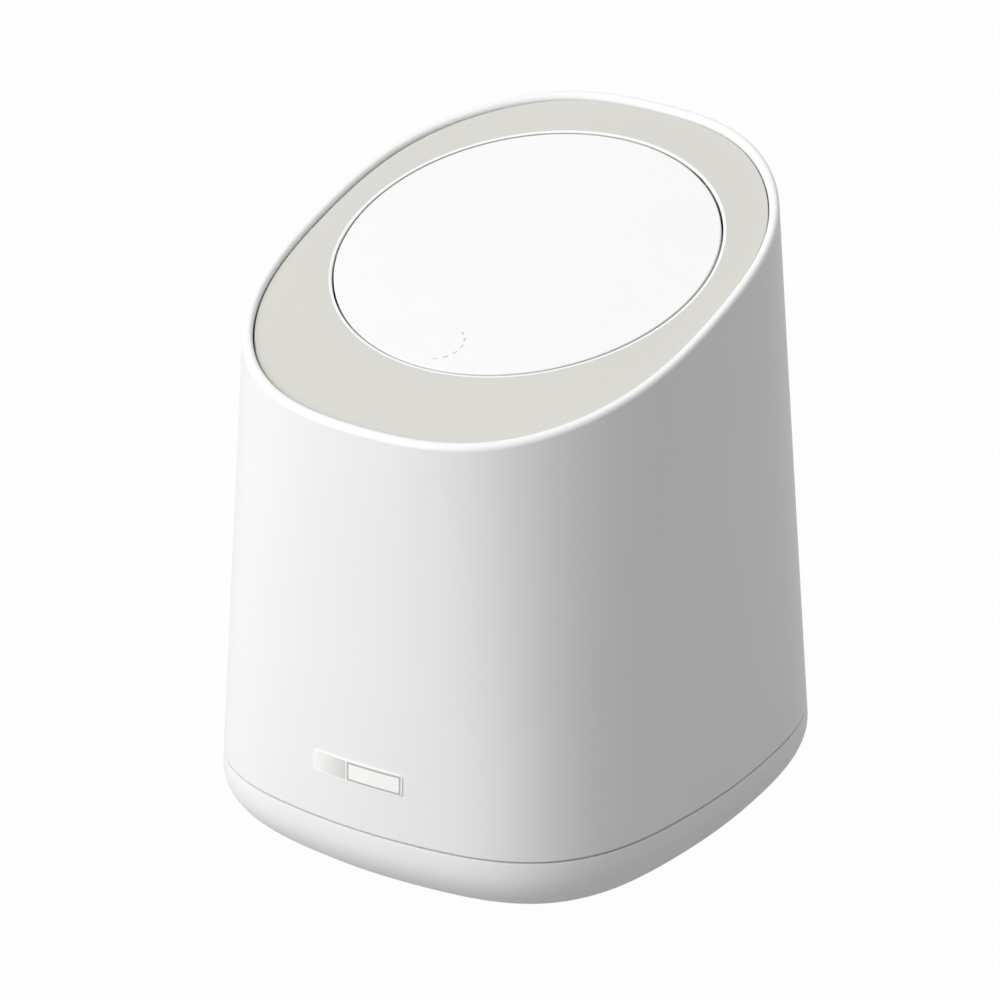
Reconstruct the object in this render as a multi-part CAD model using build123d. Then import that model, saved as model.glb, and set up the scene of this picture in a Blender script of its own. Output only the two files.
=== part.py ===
from build123d import *
import math
import os

os.makedirs("parts", exist_ok=True)

# Body. Millimetres, +Z up, the feet stand on z = 0 and the front faces -Y.
foot_stand = 0.8
body_height = 171.7
base_half_width = 73.8
base_half_depth = 83.9
base_square = 0.061
base_crisp = 0.0075
mouth_half_width = 68.1
mouth_half_depth = 77.4
mouth_square = 0.028
mouth_crisp = -0.003
mouth_shift = -6.8
mouth_tilt = 17.77
wall = 2.9
rim_round = 1.3
bottom_round = 19.3
bottom_flat = 0.65
seam_height = 22.8
seam_gap = 0.8

# Base cup
cup_wall = 2.6
spigot_gap = 0.3
spigot_wall = 1.8
spigot_rise = 9.0
bead_height = 0.55
bead_width = 1.2
bead_above_seam = 5.0
bead_half_length = 18.0
bead_gap = 0.25
step_below_seam = 3.5
step_sink = 0.5
rest_rib_top = 6.5
rest_rib_wide = 2.4
rib_middle = -7.0
rib_half_x = 38.0
rib_half_y = 42.0
rib_apart_x = 26.0
rib_apart_y = 25.0
foot_radius = 6.0
foot_sunk = 1.0
foot_gap = 0.15
foot_edge = 0.5
foot_x = 32.0
foot_y = 38.0

# Label plate
label_width = 30.0
label_height = 6.6
label_middle = 40.7
label_thick = 0.3
label_corner = 1.2

# Ledge inside the mouth. Depths are counted down from the plane of the rim.
ledge_depth = 16.2
ledge_thick = 2.4
ledge_reach = 3.2

# Ring
ring_recess = 1.2
ring_thick = 2.2
ring_gap = 0.4
ring_edge = 0.5
ring_side = 13.1
hole_centre = -1.2
lid_gap = 1.0
hole_chamfer = 0.7
collar_wall = 1.6
collar_depth = 8.0
boss_radius = 2.5
boss_bottom = 9.0
boss_angles = [-55.0, -2.0, 70.0]
boss_blind = 0.4
screw_core = 1.1
screw_fit = 0.05
screw_clear = 0.2
screw_head = 2.1
screw_head_high = 1.3
frame_screw_long = 6.5
notch_inner = 23.0
notch_wall = 0.4
notch_ahead = 8.0
notch_behind = 3.3
lid_radius = mouth_half_width - ring_side
hole_radius = lid_radius + lid_gap
collar_radius = hole_radius + collar_wall

# Frame under the ring
frame_gap = 0.5
frame_plate = 2.0
frame_hole_gap = 0.5
skirt_wall = 1.8
skirt_top = 3.9

# Hinge
pin_radius = 1.0
pin_clear = 0.05
pin_seat = 0.02
ring_groove = 0.06
pin_inset = 7.8
pin_depth = 4.1
pin_end_gap = 0.2
pin_end_wall = 0.9
knuckle_inner = 14.0
knuckle_outer = 23.5
knuckle_radius = 2.6
saddle_gap = 0.6
saddle_room = 0.4
saddle_long = 6.9
saddle_half = 2.4
saddle_top = 3.5
pin_y = hole_centre + lid_radius - pin_inset
collar_reach = math.sqrt(collar_radius**2 - (pin_y - hole_centre) ** 2)
saddle_inner = collar_reach + saddle_gap
saddle_outer = saddle_inner + saddle_long
pin_half_length = saddle_outer - pin_end_wall
wire_sides = 4
spring_wire = 0.5
spring_mean = 1.35
spring_pitch = 0.9
spring_turns = 4.5
spring_leg = 8.0
spring_reach = 5.0
spring_start = 24.1
spring_room = 1.75
leg_gap = 0.1

# Lid
lid_plate = 2.2
lid_sink = 0.3
lid_edge = 0.7
lid_skirt_wall = 1.8
lid_skirt_bottom = 7.6
liner_gap = 0.4
liner_thick = 1.6
liner_lip = 1.4
liner_clear = 10.0
lid_boss_radius = 3.2
lid_boss_spots = [(33.0, 12.0), (30.0, -30.0)]
press_down = 2.6

# Striker and push latch
latch_inset = 9.2
latch_y = hole_centre - lid_radius + latch_inset
striker_y = latch_y + 1.2
striker_flange_x = 14.0
striker_flange_y = 8.0
striker_flange = 1.4
striker_slot_gap = 0.15
neck_x = 3.0
head_x = 5.6
head_y = 4.0
stem_x = 8.0
neck_top = 12.0
head_top = 17.2
head_bottom = 20.4
head_lead = 0.9
housing_top = 11.6
housing_bottom = 38.0
housing_wall = 1.4
housing_x = 15.4
housing_y = 13.4
slider_gap = 0.3
slider_top = 13.4
slider_bottom = 31.0
jaw_room_x = 9.4
jaw_room_front = 4.0
jaw_room_back = -2.4
jaw_room_bottom = 24.6
jaw_top = 14.6
jaw_wall = 1.1
jaw_half_y = 1.8
jaw_base = 1.5
jaw_gap = 0.25
neck_gap = 0.3
hook_gap = 0.15
latch_spring_wire = 0.6
latch_spring_mean = 2.6
latch_spring_turns = 5.0
latch_spring_room = 3.4
latch_spring_top = 26.4
spring_seat = 0.02
cover_thick = 1.4
cover_top = 13.0
cover_bottom = 35.5
window_half = 3.5
window_top = 16.0
window_bottom = 34.0
ear_x = 24.0
ear_thick = 2.0
ear_top = 18.0
ear_bottom = 32.0
latch_screw_x = 9.8
latch_screw_depth = 25.0
web_thick = 2.4
web_half = 13.0
web_low = 33.0
web_boss_radius = 2.4
web_boss_long = 6.0
latch_screw_long = 7.5
latch_screw_head = 2.0
lid_screw_long = 3.8
gusset_thick = 2.0
gusset_ahead = 15.0
shelf_depth = 11.8
shelf_thick = 2.0
shelf_half = 26.0
shelf_ahead = 19.0
shelf_behind = 7.0
shelf_bearing = 3.0
drop_wall = 2.4
pad_x = 19.5
pad_half = 4.0
pad_thick = 1.0
pad_gap = 0.4
track_deep = 1.3
track_half = 3.3
track_spare = 0.4
heart_lobe = 1.05
heart_spread = 0.9
heart_depth = 20.9
heart_tail = 3.5
tail_share = 0.9
follower_radius = 0.5
follower_gap = 0.05
follower_pivot = 32.0
follower_out = 0.8
follower_end_gap = 0.15
wire_lap = 0.4
release_travel = 5.0

# Bucket
bucket_inset = 6.5
bucket_inset_y = 7.6
bucket_ahead = 0.9
bucket_wall = 1.6
bucket_floor = 2.0
bucket_draft = 6.0
bucket_square = 0.03
bucket_crisp = -0.003
bucket_round = 8.0
bucket_depth = 22.0
bucket_flange = 2.2
bucket_flange_thick = 2.0

MID = Align.CENTER
LOW = Align.MIN
tilt = math.radians(mouth_tilt)
mouth_plane = Plane(
    origin=(0, 0, body_height + foot_stand),
    x_dir=(1, 0, 0),
    z_dir=(0, -math.sin(tilt), math.cos(tilt)),
)
mouth = mouth_plane.location
mouth_axis = Axis((0, 0, 0), (0, -math.sin(tilt), math.cos(tilt)))
uphill = Axis((0, 0, 0), (0, math.cos(tilt), math.sin(tilt)))
outline_steps = 24
beyond = 200.0
pieces = {}


def oval(a, half_x, half_y, square, crisp, inset=0.0):
    """Point at angle a of an oval pushed out at its four corners, inset square to its edge."""
    radius = (1 - square * math.cos(4 * a) + crisp * math.cos(8 * a)) / (1 - square + crisp)
    turn = (4 * square * math.sin(4 * a) - 8 * crisp * math.sin(8 * a)) / (1 - square + crisp)
    dx = half_x * (turn * math.cos(a) - radius * math.sin(a))
    dy = half_y * (turn * math.sin(a) + radius * math.cos(a))
    long = math.hypot(dx, dy)
    x = half_x * radius * math.cos(a) - inset * dy / long
    y = half_y * radius * math.sin(a) + inset * dx / long
    return x, y


def body_point(a, z, inset, scale=1.0):
    """Point of the body's outline at angle a and height z above its own underside."""
    s = z / body_height
    half_x = base_half_width + (mouth_half_width - base_half_width) * s
    half_y = base_half_depth + (mouth_half_depth - base_half_depth) * s
    square = base_square + (mouth_square - base_square) * s
    crisp = base_crisp + (mouth_crisp - base_crisp) * s
    x, y = oval(a, half_x * scale, half_y * scale, square, crisp, inset)
    return x, y + mouth_shift * s


def closed(points):
    """Face inside a smooth closed curve."""
    return Face(Wire([Spline(*points, periodic=True)]))


def body_face(z, inset=0.0, scale=1.0):
    """Level section of the body."""
    points = []
    for i in range(outline_steps):
        x, y = body_point(2 * math.pi * i / outline_steps, z, inset, scale)
        points.append((x, y, z + foot_stand))
    return closed(points)


def mouth_point(a, depth, inset=0.0):
    """Point of the body's outline at angle a, on a plane at this depth under the plane of the rim."""
    z = body_height
    for _ in range(12):
        x, y = body_point(a, z, inset)
        z = body_height + y * math.tan(tilt) - depth / math.cos(tilt)
    return x, y, z + foot_stand


def mouth_face(depth, inset=0.0):
    """Section of the body along a plane at this depth under the plane of the rim."""
    points = []
    for i in range(outline_steps):
        points.append(mouth_point(2 * math.pi * i / outline_steps, depth, inset))
    return closed(points)


def plan_face(depth, inset=0.0):
    """The rim's own outline, carried straight down to this depth."""
    return Pos(0, 0, -depth / math.cos(tilt)) * mouth_face(0, inset)


def body_part(z_low, z_high, inset=0.0):
    """The body between two heights."""
    return loft([body_face(z_low, inset), body_face(z_high, inset)], ruled=True)


def rounding(radius, inset, sign, make):
    """Rounded edge that starts at the depth of its radius and ends at the top."""
    faces = []
    for i in range(5):
        turn = math.radians(22.5 * i)
        faces.append(make(radius * (1 - math.sin(turn)), inset + sign * radius * (1 - math.cos(turn))))
    return loft(faces, ruled=True)


def bottom_part(inset):
    """The rounded bottom of the body, from its flat underside up to the straight side."""
    faces = []
    for i in range(6):
        turn = math.radians(18 * i)
        z = inset + (bottom_round - inset) * (1 - math.cos(turn))
        scale = bottom_flat + (1 - bottom_flat) * math.sin(turn)
        faces.append(body_face(z, inset, scale))
    return loft(faces)


def slab(top, bottom):
    """Everything between two depths under the rim plane."""
    return mouth * Pos(0, 0, -bottom) * Box(2 * beyond, 2 * beyond, bottom - top, align=(MID, MID, LOW))


def disc(radius, top, bottom, x=0.0, y=hole_centre):
    """Round plate between two depths, centred on the hole unless told otherwise."""
    return mouth * Pos(x, y, -bottom) * Cylinder(radius, bottom - top, align=(MID, MID, LOW))


def block(x0, x1, y0, y1, top, bottom):
    """Box between two depths, given in the mouth's frame."""
    shape = Box(x1 - x0, y1 - y0, bottom - top, align=(LOW, LOW, LOW))
    return mouth * Pos(x0, y0, -bottom) * shape


def cross(radius, x0, x1, y=pin_y, depth=pin_depth):
    """Cylinder along X in the mouth's frame."""
    shape = Cylinder(radius, x1 - x0, align=(MID, MID, LOW))
    return mouth * Pos(x0, y, -depth) * Rot(0, 90, 0) * shape


def along_y(radius, x, y0, y1, depth):
    """Cylinder along Y in the mouth's frame."""
    shape = Cylinder(radius, y1 - y0, align=(MID, MID, LOW))
    return mouth * Pos(x, y0, -depth) * Rot(-90, 0, 0) * shape


def mouth_prism(inset, drop=60.0):
    """Upright prism under the rim plane, on the rim's own outline inset by this much."""
    face = mouth_face(0, inset)
    return loft([Pos(0, 0, -drop) * face, face], ruled=True)


def screw(core, length, head_radius, head_high):
    """Pan head screw, head upward, its underside at the origin."""
    body = Pos(0, 0, -length) * Cylinder(core, length, align=(MID, MID, LOW))
    head = Cylinder(head_radius, head_high, align=(MID, MID, LOW))
    head = chamfer(head.edges().sort_by(Axis.Z)[-1], head_high * 0.35)
    slot = Pos(0, 0, head_high * 0.5) * Box(head_radius * 1.2, 0.5, head_high, align=(MID, MID, LOW))
    return body + head - slot - Rot(0, 0, 90) * slot


def save(solids, name):
    """Keeps a finished piece, or a group of like ones, until all of them are written."""
    pieces[name] = solids if isinstance(solids, list) else [solids]


def mirrored(shape):
    """The shape and its mirror image on the other side."""
    return shape + mirror(shape, Plane.YZ)


def both_sides(spots):
    """Places on the right, each with its twin on the left."""
    return [(side * x, y) for x, y in spots for side in (-1, 1)]


# Outer shell
shell_low = seam_height + seam_gap / 2
bead_z = seam_height + bead_above_seam
shell = loft([body_face(shell_low), mouth_face(rim_round)], ruled=True)
shell += rounding(rim_round, 0, 1, mouth_face)
ledge_top = [body_face(shell_low - 1, wall), mouth_face(ledge_depth + ledge_thick, wall)]
shell -= loft(ledge_top, ruled=True)
shell -= loft([mouth_face(ledge_depth, wall), mouth_face(rim_round, wall)], ruled=True)
shell -= rounding(rim_round, wall, -1, mouth_face)
shell -= mouth_prism(wall + ledge_reach, 60)
groove = body_part(bead_z - bead_gap, bead_z + bead_width + bead_gap, wall - bead_height)
bead_span = 2 * bead_half_length + 2
bead_reach = Box(bead_span, 2 * beyond, 2 * beyond) + Box(2 * beyond, bead_span, 2 * beyond)
shell -= groove & bead_reach
save(shell, "outer_shell")

# Base cup
cup = bottom_part(0) + body_part(bottom_round, seam_height - seam_gap / 2)
cup_in = bottom_part(cup_wall) + body_part(bottom_round, seam_height + 1, cup_wall)
spigot_out = wall + spigot_gap
cup -= cup_in
step_low = seam_height - step_below_seam
spigot_top = seam_height + spigot_rise
step = body_part(step_low, seam_height - seam_gap / 2, cup_wall - step_sink)
spigot = body_part(step_low, spigot_top, spigot_out)
spigot_in = body_part(step_low - 1, spigot_top + 1, spigot_out + spigot_wall)
bead = body_part(bead_z, bead_z + bead_width, wall - bead_height + bead_gap)
bead_span = 2 * bead_half_length
bead &= Box(bead_span, 2 * beyond, 2 * beyond) + Box(2 * beyond, bead_span, 2 * beyond)
cup += (step + spigot + bead) - spigot_in
rib_low = foot_stand + cup_wall - step_sink
rib_high = rest_rib_top - cup_wall + step_sink
for y in (rib_middle - rib_apart_y, rib_middle + rib_apart_y):
    cup += Pos(0, y, rib_low) * Box(2 * rib_half_x, rest_rib_wide, rib_high, align=(MID, MID, LOW))
for x in (-rib_apart_x, rib_apart_x):
    cup += Pos(x, rib_middle, rib_low) * Box(rest_rib_wide, 2 * rib_half_y, rib_high, align=(MID, MID, LOW))
foot_places = [(x, y) for x in (-foot_x, foot_x) for y in (-foot_y, foot_y)]
for x, y in foot_places:
    cup -= Pos(x, y, foot_stand) * Cylinder(foot_radius + foot_gap, foot_sunk, align=(MID, MID, LOW))
save(cup, "base_cup")

pad = Cylinder(foot_radius, foot_stand + foot_sunk, align=(MID, MID, LOW))
pad = chamfer(pad.edges().sort_by(Axis.Z)[0], foot_edge)
save([Pos(x, y, 0) * pad for x, y in foot_places], "foot_pads")

# Label plate on the front
label_low = foot_stand + label_middle
window = RectangleRounded(label_width, label_height, label_corner)
window = extrude(Plane.XZ * Pos(0, label_low) * window, amount=beyond)
band_low = label_middle - label_height
band_high = label_middle + label_height
label = (body_part(band_low, band_high, -label_thick) - body_part(band_low - 1, band_high + 1)) & window
save(label, "label_plate")

# Ring
ring_low = ring_recess + ring_thick
edge_low = ring_recess + ring_edge
ring_inset = wall + ring_gap
ring = loft([plan_face(ring_low, ring_inset), plan_face(edge_low, ring_inset)], ruled=True)
ring += Pos(0, 0, -ring_recess / math.cos(tilt)) * rounding(ring_edge, ring_inset, 1, plan_face)
ring += disc(collar_radius, ring_low - 0.2, collar_depth)
plate_low = boss_bottom + frame_plate
skirt_lean = (plate_low + screw_head_high) * math.tan(tilt)
boss_spots = []
for angle in boss_angles:
    outer_x, outer_y, _ = mouth_point(math.radians(angle), 0, wall + frame_gap + skirt_wall)
    outer_y = outer_y / math.cos(tilt) - hole_centre - (skirt_lean if angle > 0 else 0)
    share = (1 + collar_radius / math.hypot(outer_x, outer_y)) / 2
    boss_spots.append((outer_x * share, outer_y * share + hole_centre))
boss_places = both_sides(boss_spots)
for x, y in boss_places:
    ring += disc(boss_radius, ring_low - 0.2, boss_bottom, x, y)
ring -= disc(hole_radius, 0, collar_depth + 1)
cone = Cone(hole_radius, hole_radius + hole_chamfer + 0.2, hole_chamfer + 0.2, align=(MID, MID, LOW))
ring -= mouth * Pos(0, hole_centre, -ring_recess - hole_chamfer) * cone
for x, y in boss_places:
    ring -= disc(screw_core + screw_fit, ring_low + boss_blind, boss_bottom + 1, x, y)
notch_outer = collar_reach - notch_wall
notch = block(notch_inner, notch_outer, pin_y - notch_ahead, pin_y + notch_behind, 0, boss_bottom)
ring -= mirrored(notch)
groove_half = pin_half_length + 2 * pin_end_gap
ring -= cross(pin_radius + ring_groove, -groove_half, groove_half)
room_half = saddle_half + saddle_room
room_inner = saddle_inner - saddle_room
room_outer = saddle_outer + saddle_room
room = block(room_inner, room_outer, pin_y - room_half, pin_y + room_half, ring_low, boss_bottom)
ring -= mirrored(room)
save(ring, "top_ring")

# Frame under the ring
frame = mouth_prism(wall + frame_gap) & slab(boss_bottom, plate_low)
frame -= disc(hole_radius + frame_hole_gap, 0, ledge_depth)
skirt = mouth_prism(wall + frame_gap) - mouth_prism(wall + frame_gap + skirt_wall, 80)
frame += skirt & slab(skirt_top, ledge_depth)
saddle = block(saddle_inner, saddle_outer, pin_y - saddle_half, pin_y + saddle_half, saddle_top, plate_low)
frame += mirrored(saddle)
bore_half = pin_half_length + pin_end_gap
frame -= cross(pin_radius + pin_seat, -bore_half, bore_half)
gate_half = pin_radius + pin_seat
gate = block(saddle_inner - 1, bore_half, pin_y - gate_half, pin_y + gate_half, saddle_top - 1, pin_depth)
frame -= mirrored(gate)
shelf_low = shelf_depth + shelf_thick
web_front = latch_y - housing_y / 2 - cover_thick
shelf_front = latch_y - shelf_ahead
shelf_inner = lid_radius - shelf_bearing
shelf = block(-shelf_half, shelf_half, shelf_front, latch_y + shelf_behind, shelf_depth, shelf_low)
shelf -= disc(shelf_inner, 0, shelf_low + 1)
shelf_slot = web_half + slider_gap
shelf -= block(-shelf_slot, shelf_slot, web_front, latch_y + shelf_ahead, 0, shelf_low + 1)
drop = block(-shelf_half, shelf_half, shelf_front, shelf_front + drop_wall, boss_bottom, shelf_low)
frame += shelf + drop
web = block(-web_half, web_half, web_front - web_thick, web_front, shelf_depth, web_low)
gusset_low = ear_bottom - 2 * gusset_thick
gusset_front = latch_y - gusset_ahead
gusset = block(-web_half, -web_half + gusset_thick, gusset_front, web_front, shelf_depth, gusset_low)
frame += web + mirrored(gusset)
for x in (-latch_screw_x, latch_screw_x):
    frame += along_y(web_boss_radius, x, web_front - web_boss_long, web_front - 0.5, latch_screw_depth)
    pilot_end = web_front - web_boss_long + 2 * boss_blind
    frame -= along_y(screw_core + screw_fit, x, pilot_end, web_front + 1, latch_screw_depth)
for x, y in boss_places:
    frame -= disc(screw_core + screw_clear, boss_bottom - 1, plate_low + 1, x, y)
save(frame, "ring_frame")

frame_screw = screw(screw_core, frame_screw_long, screw_head, screw_head_high)
frame_screws = []
for x, y in boss_places:
    frame_screws.append(mouth * Pos(x, y, -plate_low) * Rot(180, 0, 0) * frame_screw)
save(frame_screws, "frame_screws")

pad_top = shelf_depth - pad_thick
stop = block(pad_x - pad_half, pad_x + pad_half, shelf_front, latch_y + shelf_ahead, pad_top, shelf_depth)
stop &= disc(lid_radius + pad_gap, 0, shelf_low) - disc(shelf_inner + pad_gap, 0, shelf_low + 1)
save([stop, mirror(stop, Plane.YZ)], "stop_pads")

# Hinge pin
pin = cross(pin_radius, -pin_half_length, pin_half_length)
save(pin, "hinge_pin")

# Lid cover
cover_low = ring_recess + lid_plate
lid = disc(lid_radius, ring_recess, lid_skirt_bottom)
lid = fillet(lid.edges().sort_by(mouth_axis)[-1], lid_edge)
liner_radius = lid_radius - lid_skirt_wall - liner_gap
lid -= disc(lid_radius - lid_skirt_wall, cover_low, lid_skirt_bottom + 1)
knuckle = cross(knuckle_radius, knuckle_inner, knuckle_outer)
knuckle_front = pin_y - knuckle_radius
knuckle_back = pin_y + knuckle_radius
knuckle += block(knuckle_inner, knuckle_outer, knuckle_front, knuckle_back, cover_low - lid_sink, pin_depth)
lid += mirrored(knuckle)
lid -= mirrored(cross(spring_room, spring_start - lid_sink, saddle_outer))
lid -= cross(pin_radius + pin_clear, -lid_radius, lid_radius)
half_wire = spring_wire / 2
leg_x = spring_start + half_wire
leg_half = half_wire + leg_gap
leg_top = pin_depth - spring_mean - half_wire
leg_front = pin_y - spring_leg - lid_sink
leg_slot = block(leg_x - leg_half, leg_x + leg_half, leg_front, pin_y, leg_top, cover_low + leg_gap)
lid -= mirrored(leg_slot)
lid_boss_places = both_sides(lid_boss_spots)
liner_top = lid_skirt_bottom - liner_thick
for x, y in lid_boss_places:
    lid += disc(lid_boss_radius, cover_low - lid_sink, liner_top, x, y)
    lid -= disc(screw_core + screw_fit, cover_low + lid_sink, liner_top + 1, x, y)
save(lid, "lid_cover")

# Lid liner
liner = disc(liner_radius, cover_low + lid_sink, lid_skirt_bottom)
liner -= disc(liner_radius - liner_lip, 0, liner_top)
liner -= block(-lid_radius, lid_radius, pin_y - liner_clear, lid_radius, 0, lid_skirt_bottom + 1)
slot_x = stem_x / 2 + striker_slot_gap
slot_y = head_y / 2 + striker_slot_gap
liner -= block(-slot_x, slot_x, striker_y - slot_y, striker_y + slot_y, liner_top - 1, lid_skirt_bottom + 1)
for x, y in lid_boss_places:
    liner -= disc(screw_core + screw_clear, liner_top - 1, lid_skirt_bottom + 1, x, y)
save(liner, "lid_liner")

lid_screw = screw(screw_core, lid_screw_long, screw_head, screw_head_high)
lid_screws = []
for x, y in lid_boss_places:
    lid_screws.append(mouth * Pos(x, y, -lid_skirt_bottom) * Rot(180, 0, 0) * lid_screw)
save(lid_screws, "lid_screws")

# Striker
flange_top = liner_top - striker_flange
y0 = striker_y - head_y / 2
y1 = striker_y + head_y / 2
flange_x = striker_flange_x / 2
flange_y = striker_flange_y / 2
striker = block(-flange_x, flange_x, striker_y - flange_y, striker_y + flange_y, flange_top, liner_top)
striker += block(-stem_x / 2, stem_x / 2, y0, y1, flange_top, neck_top)
striker += block(-neck_x / 2, neck_x / 2, y0, y1, neck_top - 1, head_bottom)
head = block(-head_x / 2, head_x / 2, y0, y1, head_top, head_bottom)
head = chamfer(head.edges().filter_by(uphill), head_lead)
striker += head
save(striker, "striker")

# Latch housing
box_x = housing_x / 2
box_y = housing_y / 2
room_x = box_x - housing_wall
room_y = box_y - housing_wall
housing = block(-box_x, box_x, latch_y - box_y, latch_y + box_y, housing_top, housing_bottom)
ears_back = latch_y - box_y
housing += block(-ear_x / 2, ear_x / 2, ears_back, ears_back + ear_thick, ear_top, ear_bottom)
floor_depth = housing_bottom - housing_wall
housing -= block(-room_x, room_x, latch_y - room_y, latch_y + room_y, housing_top - 1, floor_depth)
housing -= block(-window_half, window_half, ears_back - 1, latch_y, window_top, window_bottom)
for x in (-latch_screw_x, latch_screw_x):
    housing -= along_y(screw_core + screw_clear, x, ears_back - 1, latch_y, latch_screw_depth)
save(housing, "latch_housing")

# Latch cover with the pocket of the follower
cover = block(-ear_x / 2, ear_x / 2, web_front, ears_back, cover_top, cover_bottom)
cover -= along_y(follower_radius + follower_gap, 0, web_front - 1, ears_back + 1, follower_pivot)
for x in (-latch_screw_x, latch_screw_x):
    cover -= along_y(screw_core + screw_clear, x, web_front - 1, ears_back + 1, latch_screw_depth)
save(cover, "latch_cover")

latch_screw = screw(screw_core, latch_screw_long, latch_screw_head, screw_head_high)
latch_screws = []
for x in (-latch_screw_x, latch_screw_x):
    seat = mouth * Pos(x, ears_back + ear_thick, -latch_screw_depth)
    latch_screws.append(seat * Rot(-90, 0, 0) * latch_screw)
save(latch_screws, "latch_screws")

# Latch slider with the heart shaped track
sx = room_x - slider_gap
sy = room_y - slider_gap
slider = block(-sx, sx, latch_y - sy, latch_y + sy, slider_top, slider_bottom)
jx = jaw_room_x / 2
room_back = latch_y + jaw_room_back
room_front = latch_y + jaw_room_front
slider -= block(-jx, jx, room_back, room_front, slider_top - 1, jaw_room_bottom)
slider -= disc(latch_spring_room, latch_spring_top, slider_bottom + 1, 0, latch_y)
slider_back = latch_y - sy
rise = math.sqrt((heart_lobe + follower_radius + follower_gap) ** 2 - heart_spread**2)
tip_depth = heart_depth - rise
track_top = tip_depth - press_down - follower_radius - track_spare
track_bottom = tip_depth + release_travel + follower_radius + track_spare
track_floor = slider_back + track_deep
track = block(-track_half, track_half, slider_back - 1, track_floor, track_top, track_bottom)
for x in (-heart_spread, heart_spread):
    track -= along_y(heart_lobe, x, slider_back - 2, track_floor + 1, heart_depth)
tail_half = heart_spread + tail_share * heart_lobe
tail = Polygon((-tail_half, 0), (tail_half, 0), (0, -heart_tail), align=None)
tail = extrude(Plane.XZ * tail, amount=track_deep + 3)
track -= mouth * Pos(0, track_floor + 1, -heart_depth) * tail
slider -= track
save(slider, "latch_slider")

# Springy clip that grips the striker
finger = head_x / 2 + jaw_gap
clip_x = finger + jaw_wall
jaws = block(-clip_x, clip_x, striker_y - jaw_half_y, striker_y + jaw_half_y, jaw_top, jaw_room_bottom)
hook_low = head_top - hook_gap
neck_room = neck_x / 2 + neck_gap
jaw_front = striker_y - head_y
jaw_back = striker_y + head_y
jaws -= block(-neck_room, neck_room, jaw_front, jaw_back, jaw_top - 1, hook_low + 0.5)
jaws -= block(-finger, finger, jaw_front, jaw_back, hook_low, jaw_room_bottom - jaw_base)
save(jaws, "latch_jaws")

# Wire that follows the track
wire_y = ears_back + follower_out
follower = along_y(follower_radius, 0, web_front + follower_end_gap, wire_y + wire_lap, follower_pivot)
follower += disc(follower_radius, tip_depth - wire_lap, follower_pivot + wire_lap, 0, wire_y)
follower += along_y(follower_radius, 0, wire_y - wire_lap, track_floor - follower_end_gap, tip_depth)
save(follower, "latch_follower")


def coil(mean, wire, pitch, turns):
    """Coil of wire along Z that starts at z = 0. Its flat faces keep it light."""
    path = Helix(pitch=pitch, height=pitch * turns, radius=mean)
    profile = Plane(origin=path @ 0, z_dir=path % 0) * RegularPolygon(wire / 2, wire_sides)
    return sweep(profile, path=path, is_frenet=True)


latch_spring_low = floor_depth - latch_spring_wire / 2 - spring_seat
latch_spring_tall = floor_depth - latch_spring_top - latch_spring_wire - 2 * spring_seat
latch_spring_pitch = latch_spring_tall / latch_spring_turns
latch_spring = coil(latch_spring_mean, latch_spring_wire, latch_spring_pitch, latch_spring_turns)
latch_spring = mouth * Pos(0, latch_y, -latch_spring_low) * latch_spring
save(latch_spring, "latch_spring")

# Torsion springs around the hinge pin
spring = coil(spring_mean, spring_wire, spring_pitch, spring_turns)
spring = mouth * Pos(leg_x, pin_y, -pin_depth) * Rot(180, 0, 0) * Rot(0, 90, 0) * spring
lid_leg = along_y(half_wire, leg_x, pin_y - spring_leg, pin_y, pin_depth - spring_mean)
spring_end = leg_x + spring_pitch * spring_turns
leg_depth = pin_depth + spring_mean
frame_leg = along_y(half_wire, spring_end, pin_y, pin_y + spring_reach, leg_depth)
frame_leg += disc(half_wire, leg_depth - half_wire, boss_bottom, spring_end, pin_y + spring_reach)
right_spring = spring + lid_leg + frame_leg
save(right_spring, "lid_spring_right")
save(mirror(right_spring, Plane.YZ), "lid_spring_left")

# Inner bucket
bucket_low = foot_stand + rest_rib_top
bucket_half_width = mouth_half_width - wall - bucket_inset
bucket_half_depth = mouth_half_depth - wall - bucket_inset_y
bucket_centre = mouth_shift - bucket_ahead
bucket_top = body_height + foot_stand + mouth_half_depth * math.tan(tilt)


def bucket_face(z, inset=0.0, shrink=0.0):
    """Level section of the bucket, narrower towards its floor."""
    draft = bucket_draft * (1 - (z - bucket_low) / (body_height - bucket_low)) + shrink
    half_x = bucket_half_width - draft
    half_y = bucket_half_depth - draft
    points = []
    for i in range(outline_steps):
        a = 2 * math.pi * i / outline_steps
        x, y = oval(a, half_x, half_y, bucket_square, bucket_crisp, inset)
        points.append((x, y + bucket_centre, z))
    return closed(points)


def bucket_part(z_low, inset, radius):
    """The bucket's form with a rounded floor, cut off along the slope of its rim."""
    faces = []
    for i in range(5):
        turn = math.radians(22.5 * i)
        z = z_low + radius * (1 - math.cos(turn))
        faces.append(bucket_face(z, inset, radius * (1 - math.sin(turn))))
    shape = loft(faces)
    shape += loft([bucket_face(z_low + radius, inset), bucket_face(bucket_top, inset)], ruled=True)
    return shape - slab(-beyond, bucket_depth)


flange_from = body_height / 2
flange = loft([bucket_face(flange_from, -bucket_flange), bucket_face(bucket_top, -bucket_flange)], ruled=True)
flange &= slab(bucket_depth, bucket_depth + bucket_flange_thick)
bucket = bucket_part(bucket_low, 0, bucket_round) + flange
bucket -= bucket_part(bucket_low + bucket_floor, bucket_wall, bucket_round - bucket_wall)
save(bucket, "inner_bucket")

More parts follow.
